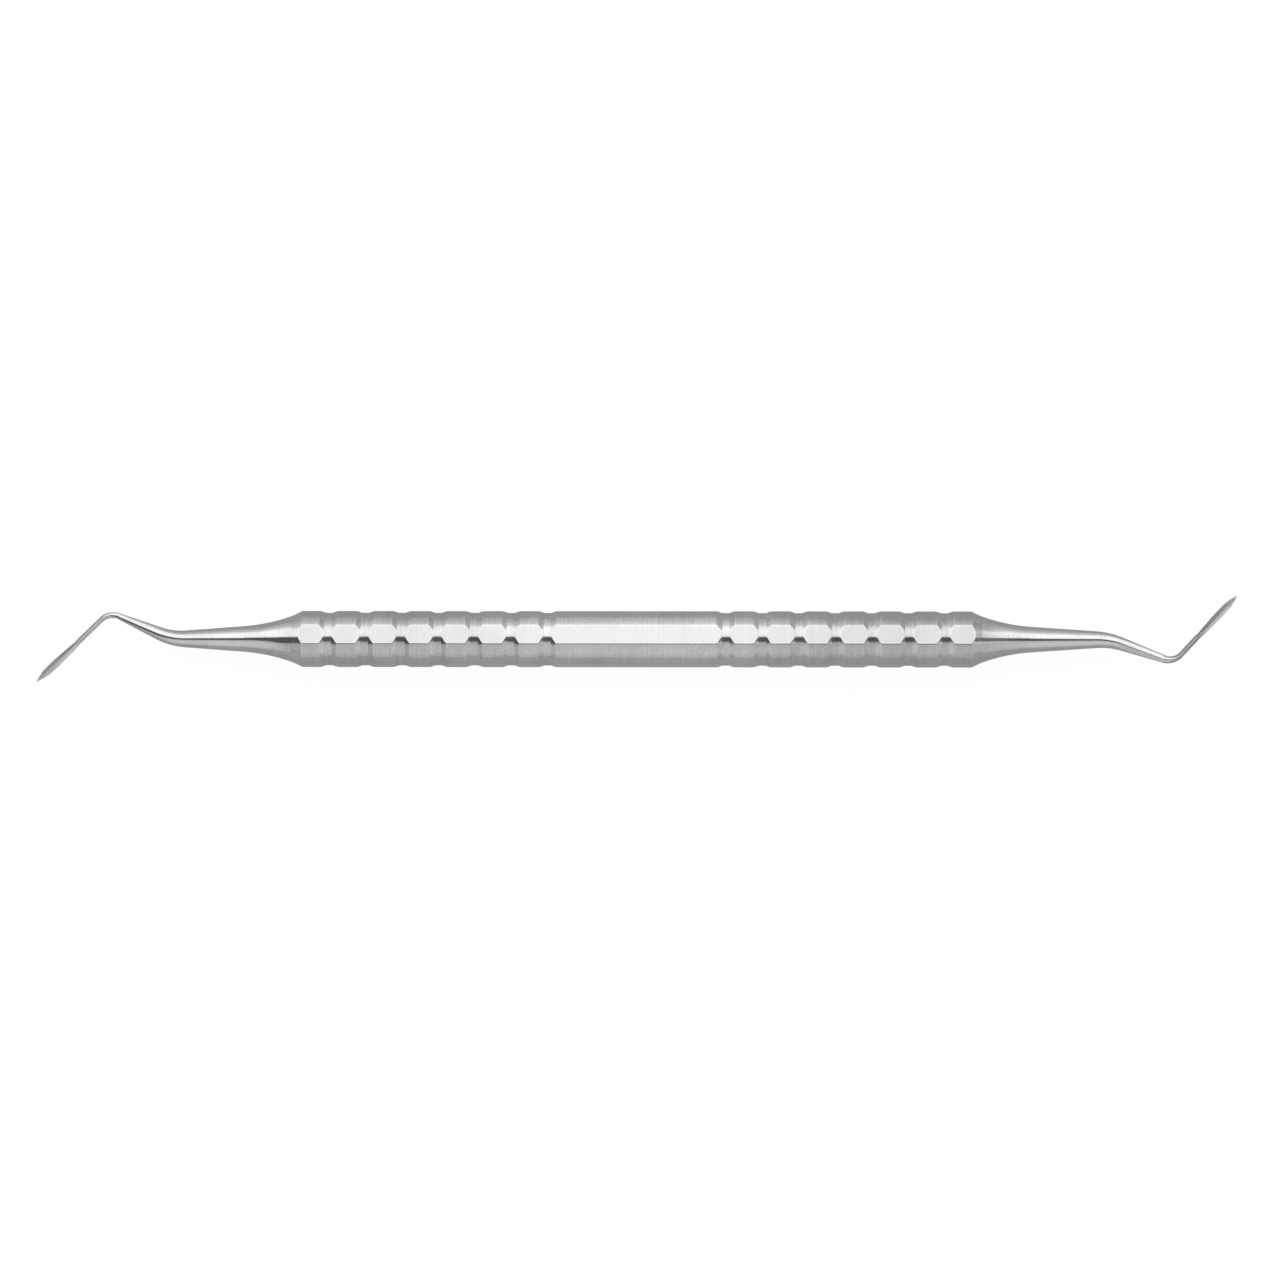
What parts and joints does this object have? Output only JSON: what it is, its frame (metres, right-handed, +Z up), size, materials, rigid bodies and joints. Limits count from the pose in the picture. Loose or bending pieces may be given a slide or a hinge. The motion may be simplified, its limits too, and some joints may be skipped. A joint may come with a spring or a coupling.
{
  "type": "hand scaler",
  "caption": "Double-ended dental scaler: hollow round handle with milled flats and ring grooves, flared end cones, and angled thin shanks with pointed blades.",
  "frame": {"origin": "middle of the handle, on its axis", "axes": "+X along the handle towards the right tip, +Y in the plane of the shank bends, +Z up, square to the handle flat the instrument rests on"},
  "size_m": [0.1688, 0.0124, 0.0076],
  "materials": {
    "handle_steel": "satin",
    "cone_steel": "fine satin",
    "tip_steel": "polished"
  },
  "bodies": {
    "root": {"handle_tube": "handle_steel", "left_cone": "cone_steel", "right_cone": "cone_steel", "left_tip": "tip_steel", "right_tip": "tip_steel"}
  },
  "joints": []
}
